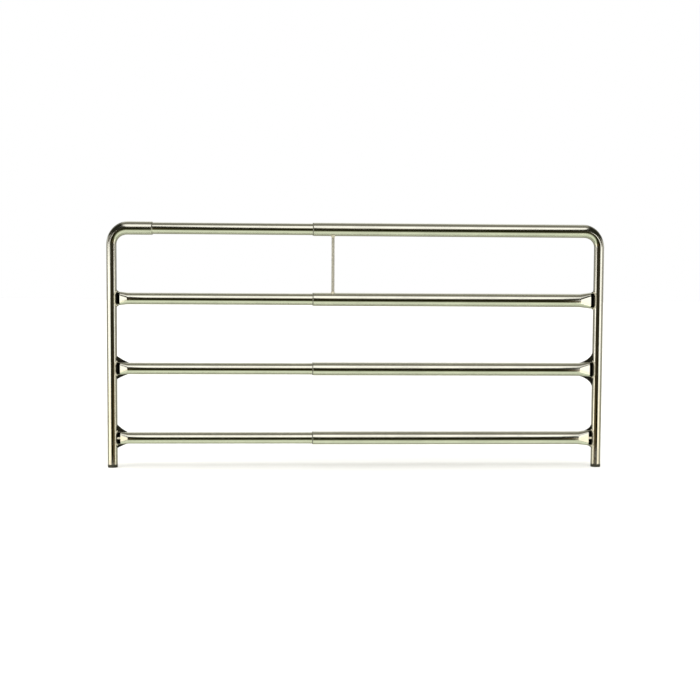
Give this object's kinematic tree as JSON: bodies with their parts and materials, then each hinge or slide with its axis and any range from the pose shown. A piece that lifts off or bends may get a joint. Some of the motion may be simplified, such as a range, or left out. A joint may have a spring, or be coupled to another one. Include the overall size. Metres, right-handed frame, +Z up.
{
  "type": "livestock panel gate",
  "caption": "Telescopic tubular livestock panel gate: a bent-tube bow and lower rails slide over a smaller-tube half, so its length adjusts.",
  "frame": {"origin": "on the ground, at the middle of the gate's length and thickness with the gate extended", "axes": "+X along the rails towards the outer half's upright, +Y through the gate's thickness to its back, +Z up"},
  "size_m": [1.822, 0.0484, 0.8971],
  "materials": {
    "galvanised_tube": "bright zinc, mirror-like with fine draw marks",
    "stay_wire": "dull zinc-plated rod",
    "weld": "zinc-sprayed weld bead",
    "nylon": "natural nylon",
    "foot_rubber": "dark moulded plug"
  },
  "bodies": {
    "outer_half": {"outer_bow": "galvanised_tube", "outer_rail_2": "galvanised_tube", "outer_rail_3": "galvanised_tube", "outer_rail_4": "galvanised_tube", "stay_rod": "stay_wire", "stay_weld_top": "weld", "stay_weld_bottom": "weld", "foot_plug_right": "foot_rubber", "mouth_bush_1": "nylon", "mouth_bush_2": "nylon", "mouth_bush_3": "nylon", "mouth_bush_4": "nylon", "rail_weld_right_2_top": "weld", "rail_weld_right_2_bottom": "weld", "rail_weld_right_3_top": "weld", "rail_weld_right_3_bottom": "weld", "rail_weld_right_4_top": "weld", "rail_weld_right_4_bottom": "weld"},
    "sliding_half": {"elbow_upright": "galvanised_tube", "inner_top_tube": "galvanised_tube", "elbow_weld": "weld", "inner_rail_2": "galvanised_tube", "inner_rail_3": "galvanised_tube", "inner_rail_4": "galvanised_tube", "foot_plug_left": "foot_rubber", "glide_plug_1": "nylon", "glide_plug_2": "nylon", "glide_plug_3": "nylon", "glide_plug_4": "nylon", "rail_weld_left_2_top": "weld", "rail_weld_left_2_bottom": "weld", "rail_weld_left_3_top": "weld", "rail_weld_left_3_bottom": "weld", "rail_weld_left_4_top": "weld", "rail_weld_left_4_bottom": "weld"}
  },
  "joints": [
    {"name": "length_slide", "type": "slide", "parent": "outer_half", "child": "sliding_half", "axis": [1, 0, 0], "range_m": [-0.13, 0.574]}
  ]
}
